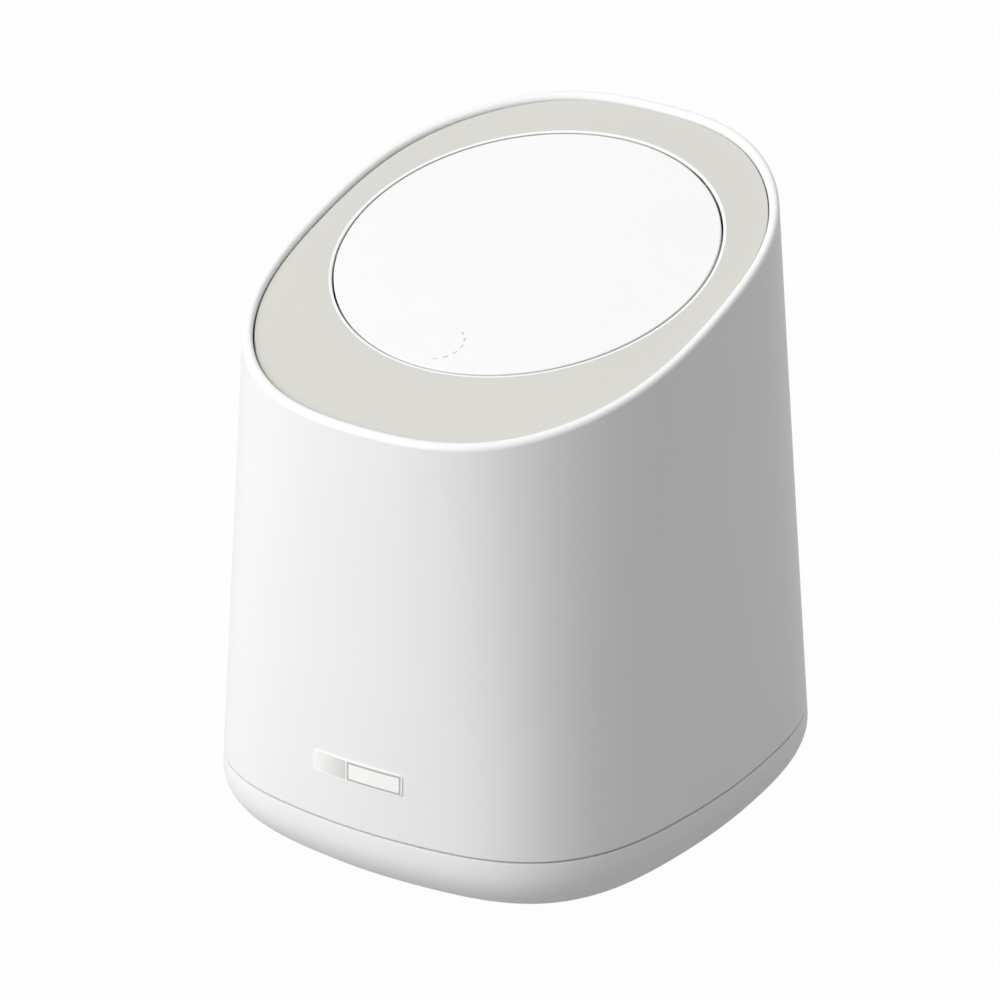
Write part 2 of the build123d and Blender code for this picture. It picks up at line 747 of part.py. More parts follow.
# The middle of the whole part's box comes over the origin
boxes = [solid.bounding_box() for solids in pieces.values() for solid in solids]
middle = (min(box.min.Y for box in boxes) + max(box.max.Y for box in boxes)) / 2
print("moved back by", round(-middle, 4))
for name, solids in pieces.items():
    placed = [Pos(0, -middle, 0) * solid for solid in solids]
    piece = placed[0] if len(placed) == 1 else Compound(children=placed)
    piece.label = name
    export_step(piece, "parts/" + name + ".step")
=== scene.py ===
import math

import bmesh
import bpy
from mathutils import Matrix, Vector


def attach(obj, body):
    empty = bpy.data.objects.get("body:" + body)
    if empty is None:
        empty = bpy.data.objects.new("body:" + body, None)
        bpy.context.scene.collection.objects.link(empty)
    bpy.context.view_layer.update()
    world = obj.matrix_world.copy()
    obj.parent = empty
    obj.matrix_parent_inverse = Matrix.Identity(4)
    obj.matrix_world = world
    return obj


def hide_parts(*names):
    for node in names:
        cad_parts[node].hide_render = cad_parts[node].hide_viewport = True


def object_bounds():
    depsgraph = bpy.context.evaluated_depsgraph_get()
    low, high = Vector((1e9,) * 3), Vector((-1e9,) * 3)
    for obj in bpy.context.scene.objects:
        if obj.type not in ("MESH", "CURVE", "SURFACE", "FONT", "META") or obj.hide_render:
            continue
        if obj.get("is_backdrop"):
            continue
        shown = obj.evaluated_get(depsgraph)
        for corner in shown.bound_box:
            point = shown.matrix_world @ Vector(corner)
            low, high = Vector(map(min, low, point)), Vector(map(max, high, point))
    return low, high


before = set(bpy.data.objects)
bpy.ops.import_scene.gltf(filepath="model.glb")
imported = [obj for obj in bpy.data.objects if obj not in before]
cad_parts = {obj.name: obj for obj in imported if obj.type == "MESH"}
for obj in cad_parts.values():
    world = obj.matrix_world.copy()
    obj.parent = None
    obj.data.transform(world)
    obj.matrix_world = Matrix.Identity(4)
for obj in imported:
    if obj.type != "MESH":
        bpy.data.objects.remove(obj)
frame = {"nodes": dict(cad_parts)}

bl_info = {
    "name": "Push top countertop bin",
    "version": (1, 0, 0),
    "blender": (4, 5, 0),
    "location": "View3D > Sidebar > Bin",
    "description": "Builds the visible pieces of a push top countertop bin around its solid model",
    "category": "Object",
}

CAD_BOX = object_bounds()
MOVED_BACK = Matrix.Translation((0, 0.0009065, 0))
SPOKES = 192  # points of a section
FINE = 1e-6  # distance within which points are one
START_RADIUS = 0.05  # of a skin's first circle, before its points are placed
SOFT = 0.3  # share of a small edge at which its middle section stands
ROUNDS = 12  # steps that bring a point onto a slanted plane


# Sizes and colours -----------------------------------------------------------------------------

def number(name, default, description, **more):
    return bpy.props.FloatProperty(name=name, description=description, default=default, **more)


def length(name, default, description):
    return number(name, default, description, unit="LENGTH", subtype="DISTANCE", precision=4)


def degrees(name, default, description):
    return number(name, math.radians(default), description, unit="ROTATION", subtype="ANGLE")


def position(name, default, description):
    return bpy.props.FloatVectorProperty(
        name=name, description=description, default=default, size=3, unit="LENGTH", subtype="TRANSLATION"
    )


def colour(name, default, description):
    return bpy.props.FloatVectorProperty(
        name=name, description=description, default=default, size=3, min=0, max=1, subtype="COLOR"
    )


class BinBodySizes(bpy.types.PropertyGroup):
    """Sizes of the outer body."""
    stand: length("Stand", 0.0008, "How far the feet lift the body")
    height: length("Height", 0.1717, "Height of the rim above the underside, at the middle")
    base_half_width: length("Base half width", 0.0738, "Half width at the underside, before rounding")
    base_half_depth: length("Base half depth", 0.0839, "Half depth at the underside, before rounding")
    mouth_half_width: length("Mouth half width", 0.0681, "Half width at the rim")
    mouth_half_depth: length("Mouth half depth", 0.0774, "Half depth at the rim")
    mouth_shift: length("Mouth shift", -0.0068, "How far the rim leans forward")
    wall: length("Wall", 0.0029, "Thickness of the body's wall")
    rim_round: length("Rim rounding", 0.0013, "Radius on the rim's two edges")
    bottom_round: length("Bottom rounding", 0.0193, "Height of the rounded bottom")
    seam_height: length("Seam height", 0.0228, "Height of the line between base cup and shell")
    seam_gap: length("Seam gap", 0.0005, "Width of that line")
    mouth_tilt: degrees("Mouth tilt", 17.77, "Slope of the rim from front to back")
    edge: length("Edge", 0.0004, "Rounding on the small edges")


class BinTopSizes(bpy.types.PropertyGroup):
    """Sizes of the ring and the lid. Depths are counted down from the plane of the rim."""
    recess: length("Recess", 0.0012, "Depth of the ring's face under the rim")
    ring_thick: length("Ring thickness", 0.0022, "Thickness of the ring's plate")
    notch_depth: length("Notch depth", 0.0018, "Depth under which the ring is cut away for the hinge")
    ring_gap: length("Ring gap", 0.00025, "Gap between ring and wall")
    ring_aside: length("Ring aside", 0.0001, "How far the ring's outline sits off centre in its play")
    hole_centre: length("Hole centre", -0.0012, "Place of the hole's centre from front to back")
    lid_radius: length("Lid radius", 0.055, "Radius of the round lid")
    lid_gap: length("Lid gap", 0.0006, "Gap around the lid")
    chamfer: length("Hole chamfer", 0.0008, "Width of the bright edge of the hole")
    chamfer_fall: length("Chamfer fall", 0.00015, "How far that edge falls")
    collar_wall: length("Collar wall", 0.0016, "Thickness of the collar under the ring")
    collar_depth: length("Collar depth", 0.008, "Depth of the collar's lower edge")
    lid_plate: length("Lid plate", 0.0022, "Thickness of the lid's top")
    lid_edge: length("Lid edge", 0.0004, "Rounding on the lid's edge")
    lid_skirt: length("Lid skirt", 0.0018, "Thickness of the lid's skirt")
    lid_depth: length("Lid depth", 0.0076, "Depth of the skirt's lower edge")
    pin_y: length("Pin place", 0.046, "Place of the hinge pin from front to back")
    pin_depth: length("Pin depth", 0.0041, "Depth of the hinge pin")


class BinSpringSizes(bpy.types.PropertyGroup):
    """Sizes of the springs that throw the lid open."""
    wire: length("Wire", 0.0005, "Thickness of the wire")
    mean: length("Mean radius", 0.00135, "Radius of the coil to the middle of the wire")
    pitch: length("Pitch", 0.0009, "Distance from turn to turn")
    turns: number("Turns", 4.5, "Number of turns")
    start: length("Start", 0.02435, "Distance of the first turn from the middle")
    lid_leg: length("Lid leg", 0.008, "Length of the leg under the lid")
    frame_leg: length("Frame leg", 0.005, "Length of the leg towards the back")
    foot: length("Foot", 0.009, "Depth at which that leg stands on the frame")


class BinBucketSizes(bpy.types.PropertyGroup):
    """Sizes of the inner bucket."""
    half_width: length("Half width", 0.0587, "Half width at the top")
    half_depth: length("Half depth", 0.0669, "Half depth at the top")
    centre: length("Centre", -0.0077, "Place of its middle from front to back")
    wall: length("Wall", 0.0016, "Thickness of its wall")
    floor: length("Floor", 0.002, "Thickness of its floor")
    low: length("Underside", 0.0073, "Height of its underside")
    draft: length("Draft", 0.006, "How much narrower it is at the floor")
    rounding: length("Rounding", 0.008, "Radius between floor and wall")
    depth: length("Depth", 0.022, "Depth of its rim under the bin's rim")
    flange: length("Flange", 0.0022, "Reach of its rim's lip")
    flange_thick: length("Flange thickness", 0.002, "Thickness of that lip")


class BinLabelSizes(bpy.types.PropertyGroup):
    """Sizes of the bare foil label."""
    width: length("Width", 0.030, "Width of the foil")
    height: length("Height", 0.0066, "Height of the foil")
    middle: length("Middle", 0.0407, "Height of its middle above the underside")
    thick: length("Thickness", 0.0003, "Thickness of the foil")
    corner: length("Corner", 0.0012, "Radius of its corners")
    split: length("Split", -0.0035, "Line between its filled and its outlined cell")


class BinColours(bpy.types.PropertyGroup):
    """Colours of the finishes."""
    shell: colour("Shell", (0.86, 0.86, 0.86), "Body, base and lid")
    ring: colour("Ring", (0.625, 0.615, 0.575), "Ring round the lid")
    frame: colour("Frame", (0.33, 0.33, 0.32), "Frame, liner and bucket")
    acetal: colour("Slide", (0.78, 0.78, 0.76), "Slippery plastic of the catch")
    dark: colour("Clip", (0.06, 0.06, 0.065), "Clip and housing of the catch")
    rubber: colour("Rubber", (0.12, 0.12, 0.12), "Feet and pads")
    steel: colour("Steel", (0.62, 0.61, 0.59), "Pin, screws and springs")
    foil: colour("Foil", (0.97, 0.97, 0.96), "Label")
    print: colour("Print", (0.50, 0.49, 0.46), "Print on the label")


class BinStage(bpy.types.PropertyGroup):
    """Camera, lights and floor."""
    azimuth: degrees("Azimuth", 32.9368, "Camera's direction")
    elevation: degrees("Elevation", 24.3885, "Camera's height angle")
    roll: degrees("Roll", 0.8951, "Camera's turn about its own axis")
    distance: length("Distance", 1.716, "Camera's distance")
    side: length("Sideways", -0.00549, "Camera's place to the side")
    rise: length("Rise", 0.08486, "Camera's place upward")
    lens: number("Lens", 211.17, "Focal length", unit="CAMERA")
    key: number("Key light", 52.0, "Power of the large lamp", unit="POWER")
    key_place: position("Key lamp", (-1.2, -1.84, 1.2), "Place of the large lamp")
    key_size: length("Key lamp's size", 2.0, "Width of the large lamp")
    top_share: number("Top light", 0.24, "Power of the upper lamp, as a share of the large one's")
    top_place: position("Top lamp", (0.0, 0.4, 2.2), "Place of the upper lamp")
    top_size: length("Top lamp's size", 1.4, "Width of the upper lamp")
    aim: length("Aim", 0.09, "Height at which the lamps aim")
    fill: number("Fill", 0.42, "Strength of the light all round")
    floor_size: length("Floor", 12.0, "Width of the floor")
    floor_grey: number("Floor's grey", 0.42, "How much light the floor gives back")
    floor_white: number("Floor's white", 0.98, "How white the floor looks to the camera")
    gloss_white: number("Gloss", 0.6, "How white the surroundings look in a gloss")


# Selecting and shaping ------------------------------------------------------------------------

def deselect():
    for thing in bpy.context.selected_objects:
        thing.select_set(False)


def pick(piece):
    deselect()
    piece.select_set(True)
    bpy.context.view_layer.objects.active = piece


def edit(piece):
    """Opens the piece in edit mode and returns its editable mesh."""
    pick(piece)
    bpy.ops.object.mode_set(mode="EDIT")
    return bmesh.from_edit_mesh(piece.data)


def leave():
    bpy.ops.object.mode_set(mode="OBJECT")


def finished(piece, name, finish, body, nodes=(), angle=35.0):
    """Places, shades and names a piece, ties it to its body and hides the nodes it stands for."""
    pick(piece)
    piece.name = name
    piece.data.name = name
    piece.data.transform(MOVED_BACK)
    edit(piece)
    bpy.ops.mesh.select_all(action="SELECT")
    bpy.ops.mesh.remove_doubles(threshold=FINE)
    bpy.ops.mesh.normals_make_consistent(inside=False)
    leave()
    piece.data.materials.clear()
    piece.data.materials.append(finish)
    bpy.ops.object.shade_smooth_by_angle(angle=math.radians(angle))
    even = piece.modifiers.new("Even shading", "WEIGHTED_NORMAL")
    even.keep_sharp = True
    even.weight = 80
    bpy.ops.object.modifier_apply(modifier=even.name)
    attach(piece, body)
    if nodes:
        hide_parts(*nodes)
    return piece


def skin(sections, joined=True):
    """Skin grown from a circle, whose ring of edges is extruded onto one section after the other.

    A joined skin meets its own first ring. Otherwise both ends are filled.
    """
    count = len(sections[0])
    deselect()
    bpy.ops.mesh.primitive_circle_add(vertices=count, radius=START_RADIUS, fill_type="NOTHING")
    piece = bpy.context.object
    mesh = edit(piece)
    spoke = mesh.verts.layers.int.new("spoke")
    mesh.verts.ensure_lookup_table()
    for i, vert in enumerate(mesh.verts):
        vert[spoke] = i
        vert.co = sections[0][i]
    bpy.ops.mesh.select_all(action="SELECT")
    for section in sections[1:]:
        bpy.ops.mesh.extrude_region()
        mesh = bmesh.from_edit_mesh(piece.data)
        spoke = mesh.verts.layers.int["spoke"]
        for vert in mesh.verts:
            if vert.select:
                vert.co = section[vert[spoke]]
    bpy.ops.mesh.select_all(action="DESELECT")
    bpy.ops.mesh.select_mode(type="EDGE")
    bpy.ops.mesh.select_non_manifold()
    if joined:
        bpy.ops.mesh.bridge_edge_loops()
    else:
        bpy.ops.mesh.fill_holes(sides=0)
    bpy.ops.mesh.select_mode(type="VERT")
    leave()
    piece.data.attributes.remove(piece.data.attributes["spoke"])
    return piece


def joined(pieces):
    """Puts several pieces into the first one's mesh."""
    deselect()
    for piece in pieces:
        piece.select_set(True)
    bpy.context.view_layer.objects.active = pieces[0]
    bpy.ops.object.join()
    return pieces[0]


def cut(piece, cutters):
    """Takes the cutters out of the piece."""
    for cutter in cutters:
        pick(piece)
        hole = piece.modifiers.new("Cut", "BOOLEAN")
        hole.operation = "DIFFERENCE"
        hole.solver = "EXACT"
        hole.object = cutter
        bpy.ops.object.modifier_apply(modifier=hole.name)
        bpy.data.objects.remove(cutter)
    return piece


def box_piece(low, high, place=None, bevel=0.0):
    """Box between two corners with its edges bevelled, then put in place."""
    low, high = Vector(low), Vector(high)
    deselect()
    bpy.ops.mesh.primitive_cube_add(size=1)
    piece = bpy.context.object
    mesh = edit(piece)
    for vert in mesh.verts:
        vert.co = Vector(low[i] if vert.co[i] < 0 else high[i] for i in range(3))
    if bevel:
        bpy.ops.mesh.select_all(action="SELECT")
        bpy.ops.mesh.bevel(offset=bevel, segments=2, affect="EDGES")
    leave()
    if place:
        piece.data.transform(place)
    return piece


def carried(node, name, finish, body, angle=30.0):
    """Copy of a solid's mesh, its loose triangles merged so that its rounds can be shaded smooth."""
    piece = bpy.data.objects.new(name, frame["nodes"][node].data.copy())
    bpy.context.scene.collection.objects.link(piece)
    edit(piece)
    bpy.ops.mesh.select_all(action="SELECT")
    bpy.ops.mesh.remove_doubles(threshold=FINE)
    leave()
    piece.data.materials.clear()
    piece.data.materials.append(finish)
    pick(piece)
    bpy.ops.object.shade_smooth_by_angle(angle=math.radians(angle))
    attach(piece, body)
    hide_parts(node)
    return piece


# Sections of the body -------------------------------------------------------------------------

def angles(count=SPOKES):
    return [2 * math.pi * i / count for i in range(count)]


def oval(a, half_x, half_y, square, crisp, inset):
    """Point at angle a of an oval pushed out at its four corners, inset square to its edge."""
    radius = (1 - square * math.cos(4 * a) + crisp * math.cos(8 * a)) / (1 - square + crisp)
    turn = (4 * square * math.sin(4 * a) - 8 * crisp * math.sin(8 * a)) / (1 - square + crisp)
    dx = half_x * (turn * math.cos(a) - radius * math.sin(a))
    dy = half_y * (turn * math.sin(a) + radius * math.cos(a))
    reach = math.hypot(dx, dy)
    x = half_x * radius * math.cos(a) - inset * dy / reach
    y = half_y * radius * math.sin(a) + inset * dx / reach
    return x, y


# How far an oval's four corners are pushed out, and how crisp they are.
BASE_SQUARE, MOUTH_SQUARE, BUCKET_SQUARE = 0.061, 0.028, 0.03
BASE_CRISP, MOUTH_CRISP, BUCKET_CRISP = 0.0075, -0.003, -0.003


def mix(a, b, t):
    return a + (b - a) * t


def body_point(size, a, z, inset=0.0, scale=1.0):
    """Point of the body's outline at angle a and height z above its underside."""
    s = z / size.height
    half_x = mix(size.base_half_width, size.mouth_half_width, s) * scale
    half_y = mix(size.base_half_depth, size.mouth_half_depth, s) * scale
    square = mix(BASE_SQUARE, MOUTH_SQUARE, s)
    crisp = mix(BASE_CRISP, MOUTH_CRISP, s)
    x, y = oval(a, half_x, half_y, square, crisp, inset)
    return x, y + size.mouth_shift * s


def level(size, z, inset=0.0, scale=1.0):
    """Level section of the body."""
    ring = []
    for a in angles():
        x, y = body_point(size, a, z, inset, scale)
        ring.append(Vector((x, y, z + size.stand)))
    return ring


def tilted(size, depth, inset=0.0):
    """Section of the body along a plane at this depth under the plane of the rim."""
    ring = []
    for a in angles():
        z = size.height
        for _ in range(ROUNDS):
            x, y = body_point(size, a, z, inset)
            z = size.height + y * math.tan(size.mouth_tilt) - depth / math.cos(size.mouth_tilt)
        ring.append(Vector((x, y, z + size.stand)))
    return ring


def plan(size, depth, inset=0.0):
    """The rim's outline, carried straight down to this depth."""
    drop = Vector((0, 0, -depth / math.cos(size.mouth_tilt)))
    return [point + drop for point in tilted(size, 0, inset)]


def between(low, high, steps):
    """Sections spread evenly between two, the first of them left out."""
    return [[a.lerp(b, i / steps) for a, b in zip(low, high)] for i in range(1, steps + 1)]


def mouth(size):
    """Place of the mouth: its origin on the plane of the rim, Y up the slope, Z out of it."""
    origin = Matrix.Translation((0, 0, size.height + size.stand))
    return origin @ Matrix.Rotation(size.mouth_tilt, 4, "X")


def circle(place, radius, centre, axis="Z", count=SPOKES):
    """Round section about an axis through this centre, given in the mouth's frame."""
    ring = []
    for a in angles(count):
        u, v = radius * math.cos(a), radius * math.sin(a)
        step = {"X": (0, u, v), "Y": (v, 0, u), "Z": (u, v, 0)}[axis]
        ring.append(place @ (Vector(centre) + Vector(step)))
    return ring


def quarter(steps):
    """Angles from 0 to a right angle."""
    return [math.pi / 2 * i / steps for i in range(steps + 1)]


# Materials ------------------------------------------------------------------------------------

class Socket:
    """A number of a shader on which sums can be written."""

    def __init__(self, finish, output):
        self.finish = finish
        self.output = output

    def work(self, operation, *values):
        return self.finish.node("ShaderNodeMath", {"operation": operation}, dict(enumerate(values)))

    def __add__(self, other):
        return self.work("ADD", self, other)

    def __mul__(self, other):
        return self.work("MULTIPLY", self, other)

    def __sub__(self, other):
        return self.work("SUBTRACT", self, other)

    def __lt__(self, other):
        return self.work("LESS_THAN", self, other)

    def __gt__(self, other):
        return self.work("GREATER_THAN", self, other)


class Finish:
    """A new material or world, and the one maker of its nodes."""

    def __init__(self, name, kind="materials"):
        self.owner = getattr(bpy.data, kind).new(name)
        self.owner.use_nodes = True
        self.tree = self.owner.node_tree
        self.tree.nodes.clear()

    def node(self, kind, settings=None, values=None, output=0):
        """Makes a node: its settings first, then its sockets' values or links. Gives back one output."""
        made = self.tree.nodes.new(kind)
        for key, value in (settings or {}).items():
            setattr(made, key, value)
        for key, value in (values or {}).items():
            if isinstance(value, Socket):
                self.tree.links.new(value.output, made.inputs[key])
            else:
                made.inputs[key].default_value = value
        return Socket(self, made.outputs[output]) if made.outputs else None

    def coordinates(self, scale=(1.0, 1.0, 1.0)):
        here = self.node("ShaderNodeTexCoord", output="Object")
        return self.node("ShaderNodeMapping", values={"Vector": here, "Scale": scale})

    def noise(self, scale, detail=3.0, stretch=(1.0, 1.0, 1.0)):
        """Noise around 0, from about -1 to 1."""
        values = {"Vector": self.coordinates(stretch), "Scale": scale, "Detail": detail}
        return self.node("ShaderNodeTexNoise", values=values) * 2.0 - 1.0

    def tint(self, amount, first, second):
        """Colour between two, by an amount from 0 to 1."""
        shades = [shade if isinstance(shade, Socket) else (*shade, 1.0) for shade in (first, second)]
        values = {0: amount, 6: shades[0], 7: shades[1]}
        return self.node("ShaderNodeMix", {"data_type": "RGBA"}, values, output=2)

    def on_mouth(self, x, y):
        """Place about a point of the rim's plane: across, up the slope, outward, reach in the plane."""
        place = MOVED_BACK @ mouth(bpy.context.scene.bin_body) @ Matrix.Translation((x, y, 0))
        here = self.node("ShaderNodeTexCoord", output="Object")
        values = {"Vector": here, "Location": place.to_translation(), "Rotation": place.to_euler()}
        spot = self.node("ShaderNodeMapping", {"vector_type": "TEXTURE"}, values)
        flat = self.node("ShaderNodeVectorMath", {"operation": "MULTIPLY"}, {0: spot, 1: (1, 1, 0)})
        reach = self.node("ShaderNodeVectorMath", {"operation": "LENGTH"}, {0: flat}, output="Value")
        steps = [self.node("ShaderNodeSeparateXYZ", values={0: spot}, output=i) for i in range(3)]
        return *steps, reach

    def bump(self, height, distance):
        values = {"Height": height, "Distance": distance, "Strength": 1.0}
        return self.node("ShaderNodeBump", values=values)

    def surface(self, **values):
        """Principled surface. Underscores in a name stand for spaces."""
        values = {key.replace("_", " "): value for key, value in values.items()}
        shader = self.node("ShaderNodeBsdfPrincipled", values=values)
        self.node("ShaderNodeOutputMaterial", values={"Surface": shader})
        return self.owner


def shaded(colour, factor):
    return tuple(min(1.0, c * factor) for c in colour)


def bright_edge(finish):
    """Where the ring's chamfer round the hole lies."""
    size = bpy.context.scene.bin_top
    play = 0.00006
    *_, out, reach = finish.on_mouth(0, size.hole_centre)
    near = reach < size.lid_radius + size.lid_gap + size.chamfer + play
    return near * (out > -size.recess - size.chamfer_fall - play)


def press_mark(finish):
    """Ring of short dashes that shows where to press, as painted shade of a shallow engraving: darkest
    on its right and fading out towards its lit left.
    """
    across, along, depth = -0.0012, -0.0455, 0.003
    radius, half_line, dashes, share, fade = 0.0072, 0.00028, 15, 0.5, 0.7
    x, y, out, reach = finish.on_mouth(across, along)
    band = (reach > radius - half_line) * (reach < radius + half_line)
    turn = y.work("ARCTAN2", y, x) * (dashes / (2 * math.pi))
    clamped = {"operation": "DIVIDE", "use_clamp": True}
    # Painted shade: the dashes fade out towards the left, the side the light falls from.
    shade_side = finish.node("ShaderNodeMath", clamped, {0: x, 1: radius * fade})
    return band * (turn.work("FRACT", turn) < share) * (out > -depth) * shade_side


def moulded(name, colour, roughness, grain=0.00003, mark=None, mark_colour=None):
    """Moulded plastic: a little uneven in tone and gloss, with the fine ripple that a mould leaves."""
    finish = Finish(name)
    drift, cloud_gloss, speck_gloss, ripple_share, shine = 0.015, 0.03, 0.02, 0.7, 0.3
    clouds = finish.noise(scale=22.0, detail=4.0)
    specks = finish.noise(scale=1400.0, detail=2.0)
    ripple = finish.noise(scale=420.0, detail=2.0)
    shade = finish.tint(clouds * 0.5 + 0.5, shaded(colour, 1 - drift), shaded(colour, 1 + drift))
    if mark:
        shade = finish.tint(mark(finish), shade, mark_colour)
    return finish.surface(
        Base_Color=shade,
        Roughness=clouds * cloud_gloss + specks * speck_gloss + roughness,
        Normal=finish.bump(ripple * ripple_share + specks * (1 - ripple_share), grain),
        Specular_IOR_Level=shine,
    )


def drawn_steel(name, colour, roughness):
    """Drawn wire or turned steel with fine lines and a few darker specks."""
    finish = Finish(name)
    darker, lighter, line_gloss, line_depth = 0.88, 1.08, 0.08, 0.00002
    lines = finish.noise(scale=900.0, detail=2.0, stretch=(0.1, 1.0, 1.0))
    clouds = finish.noise(scale=120.0)
    return finish.surface(
        Base_Color=finish.tint(clouds * 0.5 + 0.5, shaded(colour, darker), shaded(colour, lighter)),
        Metallic=1.0,
        Roughness=lines * line_gloss + roughness,
        Normal=finish.bump(lines, line_depth),
    )


def soft_rubber(name, colour):
    """Matt rubber with a fine, dusty grain."""
    finish = Finish(name)
    clean, dusty, roughness, dust_gloss, grain_depth = 0.9, 1.25, 0.78, 0.05, 0.00005
    grain = finish.noise(scale=2200.0, detail=4.0)
    dust = finish.noise(scale=160.0, detail=5.0)
    return finish.surface(
        Base_Color=finish.tint(dust * 0.5 + 0.5, shaded(colour, clean), shaded(colour, dusty)),
        Roughness=dust * dust_gloss + roughness,
        Normal=finish.bump(grain, grain_depth),
    )


def label_foil(name, colours, size, body):
    """Pale foil with a cell on the left that darkens to the right, and an outlined cell beside it."""
    finish = Finish(name)
    edge, line, deepest = 0.0004, 0.0006, 0.6
    metal, roughness, grain_gloss, grain_depth = 0.05, 0.30, 0.05, 0.00001
    here = {"Vector": finish.node("ShaderNodeTexCoord", output="Object")}
    x = finish.node("ShaderNodeSeparateXYZ", values=here, output=0)
    z = finish.node("ShaderNodeSeparateXYZ", values=here, output=2) - (size.middle + body.stand)
    end, half = size.width / 2 - edge, size.height / 2 - edge

    def inside(low, high, reach):
        across = (x > low) * (x < high)
        return across * (z > -reach) * (z < reach)

    filled = inside(-end, size.split, half)
    outer = inside(size.split + edge, end, half)
    inner = inside(size.split + edge + line, end - line, half - line)
    fade = (x + size.width / 2) * (deepest / (size.width / 2 + size.split))
    printed = filled * fade + outer - inner
    grain = finish.noise(scale=1500.0, stretch=(0.08, 1.0, 1.0))
    return finish.surface(
        Base_Color=finish.tint(printed, colours.foil, colours.print),
        Metallic=metal,
        Roughness=grain * grain_gloss + roughness,
        Normal=finish.bump(grain, grain_depth),
    )


def finish_of(slot):
    """The detailed finish of a slot, made once. The solids' plain material has the slot's bare name."""
    name = slot + "_finish"
    if name in bpy.data.materials:
        return bpy.data.materials[name]
    colours = bpy.context.scene.bin_colours
    # The press mark's dashes get a darker copy of the shell colour: painted shade.
    painted_dash_shade, bright = shaded(colours.shell, 0.66), shaded(colours.shell, 1.02)
    if slot in ("white_shell", "white_base"):
        return moulded(name, colours.shell, roughness=0.36, grain=0.00002)
    if slot == "white_lid":
        return moulded(name, colours.shell, 0.36, 0.00002, mark=press_mark, mark_colour=painted_dash_shade)
    if slot == "grey_ring":
        return moulded(name, colours.ring, 0.42, 0.00004, mark=bright_edge, mark_colour=bright)
    if slot in ("grey_frame", "grey_liner", "grey_bucket"):
        return moulded(name, colours.frame, roughness=0.45, grain=0.00005)
    if slot == "white_acetal":
        return moulded(name, colours.acetal, roughness=0.32)
    if slot == "dark_acetal":
        return moulded(name, colours.dark, roughness=0.36)
    if slot in ("foot_rubber", "pad_rubber"):
        return soft_rubber(name, colours.rubber)
    if slot == "label_foil":
        return label_foil(name, colours, bpy.context.scene.bin_label, bpy.context.scene.bin_body)
    roughness = {"spring_steel": 0.30, "steel_pin": 0.18, "steel_screw": 0.24}[slot]
    return drawn_steel(name, colours.steel, roughness)


# Pieces ---------------------------------------------------------------------------------------

class BIN_OT_shell(bpy.types.Operator):
    """Builds the outer shell from its seam up over the rounded rim and down its inner wall"""
    bl_idname = "bin.shell"
    bl_label = "Outer shell"

    def execute(self, context):
        size = context.scene.bin_body
        ledge_depth, ledge_reach, ledge_thick = 0.0162, 0.0032, 0.0024
        outer_steps, round_steps, ledge_steps, inner_steps = 14, 8, 3, 8
        low, edge = size.seam_height + size.seam_gap / 2, size.edge
        soft = edge * SOFT
        bottom, top = level(size, low), tilted(size, size.rim_round)
        rings = [level(size, low, size.wall - edge), level(size, low, edge)]
        rings.append([a.lerp(b, soft / size.height) for a, b in zip(level(size, low, soft), top)])
        rings.append([a.lerp(b, edge / size.height) for a, b in zip(bottom, top)])
        rings += between(rings[-1], top, outer_steps)
        for turn in quarter(round_steps)[1:]:
            depth = size.rim_round * (1 - math.sin(turn))
            rings.append(tilted(size, depth, size.rim_round * (1 - math.cos(turn))))
        for turn in reversed(quarter(round_steps)):
            depth = size.rim_round * (1 - math.sin(turn))
            rings.append(tilted(size, depth, size.wall - size.rim_round * (1 - math.cos(turn))))
        under_ledge = ledge_depth + ledge_thick
        rings += between(rings[-1], tilted(size, ledge_depth, size.wall), ledge_steps)
        rings.append(plan(size, ledge_depth, size.wall + ledge_reach))
        rings.append(plan(size, under_ledge, size.wall + ledge_reach))
        rings.append(tilted(size, under_ledge, size.wall))
        rings += between(rings[-1], level(size, low + edge, size.wall), inner_steps)
        piece = skin(rings)
        finished(piece, "shell", finish_of("white_shell"), "housing", ["outer_shell"])
        return {"FINISHED"}


